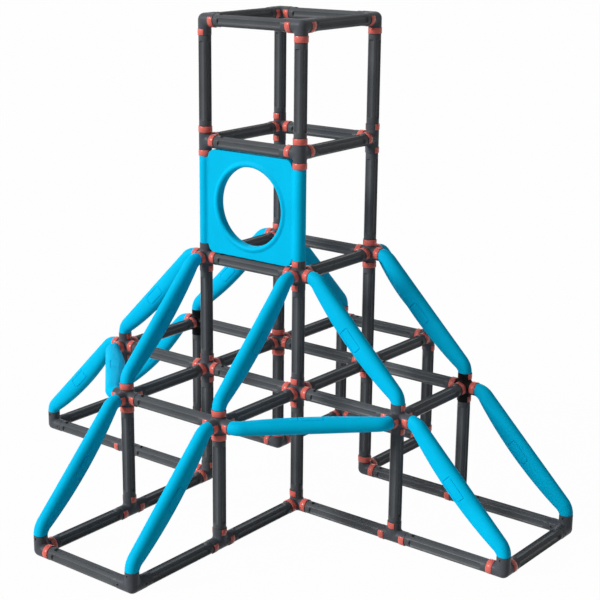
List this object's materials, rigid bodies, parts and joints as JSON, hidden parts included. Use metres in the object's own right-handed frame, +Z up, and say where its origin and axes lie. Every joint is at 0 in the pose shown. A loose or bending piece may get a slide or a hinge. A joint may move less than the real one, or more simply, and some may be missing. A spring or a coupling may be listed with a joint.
{
  "type": "toddler climbing gym",
  "caption": "Free-standing indoor climbing frame: grey fluted tubes in socket hubs, red locking clips, bowed blue climbing rails and a round-window panel on a tower with low arms.",
  "frame": {"origin": "on the floor, under the middle of the whole frame's box", "axes": "+Z up; +X to the right along the tower's window face; +Y from the window face to the rear arm"},
  "size_m": [2.0478, 1.6479, 1.6439],
  "materials": {
    "tube_grey": "satin",
    "hub_grey": "satin",
    "hub_black": "satin",
    "clip_red": "gloss",
    "rail_blue": "gloss"
  },
  "bodies": {
    "root": {"tower_floor_posts": "tube_grey", "tower_low_posts": "tube_grey", "tower_middle_posts": "tube_grey", "tower_top_posts": "tube_grey", "tower_low_bars": "tube_grey", "tower_middle_bars": "tube_grey", "tower_upper_bars": "tube_grey", "tower_top_bars": "tube_grey", "front_arm_posts": "tube_grey", "right_arm_posts": "tube_grey", "left_arm_posts": "tube_grey", "rear_arm_posts": "tube_grey", "front_arm_bars": "tube_grey", "right_arm_bars": "tube_grey", "left_arm_bars": "tube_grey", "rear_arm_bars": "tube_grey", "front_floor_bars": "tube_grey", "right_floor_bars": "tube_grey", "left_floor_bars": "tube_grey", "rear_floor_bars": "tube_grey", "top_hubs": "hub_grey", "upper_hubs": "hub_grey", "middle_hubs": "hub_grey", "low_hubs": "hub_grey", "front_arm_hubs": "hub_grey", "right_arm_hub": "hub_grey", "left_arm_hub": "hub_grey", "black_arm_hubs": "hub_black", "rear_arm_hubs": "hub_grey", "tower_floor_hubs": "hub_grey", "front_floor_tees": "hub_grey", "right_floor_tees": "hub_grey", "left_floor_tees": "hub_grey", "front_floor_corners": "hub_grey", "right_floor_corners": "hub_grey", "left_floor_corners": "hub_grey", "rear_floor_corners": "hub_grey", "front_left_upper_rail": "rail_blue", "front_right_upper_rail": "rail_blue", "front_left_lower_rail": "rail_blue", "front_right_lower_rail": "rail_blue", "right_near_upper_rail": "rail_blue", "right_far_upper_rail": "rail_blue", "right_near_lower_rail": "rail_blue", "right_far_lower_rail": "rail_blue", "left_near_upper_rail": "rail_blue", "left_far_upper_rail": "rail_blue", "left_near_lower_rail": "rail_blue", "left_far_lower_rail": "rail_blue", "rear_left_upper_rail": "rail_blue", "rear_right_upper_rail": "rail_blue", "right_corner_rail": "rail_blue", "left_corner_rail": "rail_blue", "window_panel": "rail_blue", "floor_clips": "clip_red", "arm_level_clips": "clip_red", "middle_clips": "clip_red", "upper_clips": "clip_red", "top_clips": "clip_red"}
  },
  "joints": []
}
